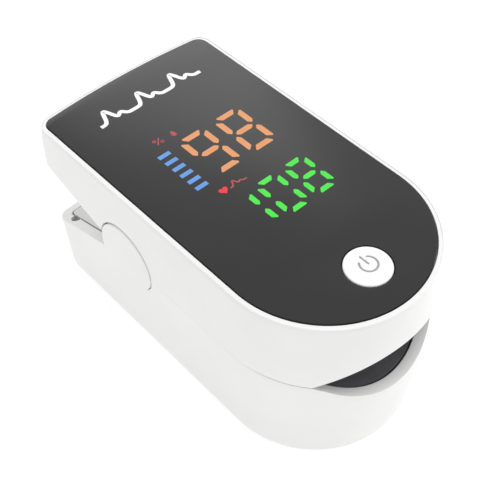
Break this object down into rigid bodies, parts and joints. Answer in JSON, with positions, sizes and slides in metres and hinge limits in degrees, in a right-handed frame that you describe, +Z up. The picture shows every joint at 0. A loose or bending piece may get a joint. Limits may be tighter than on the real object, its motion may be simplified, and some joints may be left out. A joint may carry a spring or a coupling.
{
  "type": "fingertip pulse oximeter",
  "caption": "Sprung fingertip clamp in white plastic with a dark display face, a round power button, a padded finger channel and a sliding battery door.",
  "frame": {"origin": "under the middle of the case, on the flat bottom it rests on", "axes": "+Z up, +Y from the finger mouth to the rear of the case, +X to the right when the read-out is seen upright from the finger end"},
  "size_m": [0.0334, 0.0621, 0.0333],
  "materials": {
    "white_abs": "fine satin moulding",
    "inner_abs": "satin moulding",
    "grey_silicone": "matt moulded silicone",
    "dark_acrylic": "gloss tinted acrylic",
    "button_abs": "satin moulding",
    "cell_sleeve": "printed metal sleeve",
    "nickel_steel": "nickel plated",
    "board_laminate": "solder resist",
    "moulded_epoxy": "moulded epoxy",
    "connector_nylon": "moulded nylon",
    "clear_window": "polished clear acrylic"
  },
  "bodies": {
    "lower_body": {"lower_shell": "white_abs", "lower_inner_frame": "inner_abs", "lower_pad": "grey_silicone", "sensor_board": "board_laminate", "photodiode": "moulded_epoxy", "detector_window": "clear_window", "sensor_connector": "connector_nylon", "battery_left": "cell_sleeve", "battery_right": "cell_sleeve", "contact_bridge": "nickel_steel", "contact_negative": "nickel_steel", "contact_positive": "nickel_steel", "battery_spring_front": "nickel_steel", "battery_spring_rear": "nickel_steel", "hinge_cap_left": "white_abs", "hinge_cap_right": "white_abs", "hinge_pin_left": "nickel_steel", "hinge_pin_right": "nickel_steel", "clamp_spring_left": "nickel_steel", "clamp_spring_right": "nickel_steel", "lower_screw_left": "nickel_steel", "lower_screw_right": "nickel_steel"},
    "door_body": {"battery_door": "white_abs"},
    "upper_body": {"upper_shell": "white_abs", "upper_inner_frame": "inner_abs", "upper_pad": "grey_silicone", "face_plate": "dark_acrylic", "main_board": "board_laminate", "display_module": "moulded_epoxy", "microcontroller": "moulded_epoxy", "board_connector": "connector_nylon", "tactile_switch": "nickel_steel", "emitter_led": "connector_nylon", "emitter_window": "clear_window", "upper_screw_left": "nickel_steel", "upper_screw_right": "nickel_steel"},
    "button_body": {"power_button": "button_abs"}
  },
  "joints": [
    {"name": "clamp_hinge", "type": "hinge", "parent": "lower_body", "child": "upper_body", "pos_m": [0, 0.0096, 0.0198], "axis": [-1, 0, 0], "range_deg": [0, 25], "stiffness_Nm_per_rad": 0.086, "springref_deg": -20.05, "deforming": ["clamp_spring_left", "clamp_spring_right"]},
    {"name": "power_button_press", "type": "slide", "parent": "upper_body", "child": "button_body", "axis": [0, 0, -1], "range_m": [0, 0.0003], "stiffness_N_per_m": 4000, "springref_m": -0.0001},
    {"name": "battery_door_slide", "type": "slide", "parent": "lower_body", "child": "door_body", "axis": [0, 1, 0], "range_m": [0, 0.052]}
  ]
}
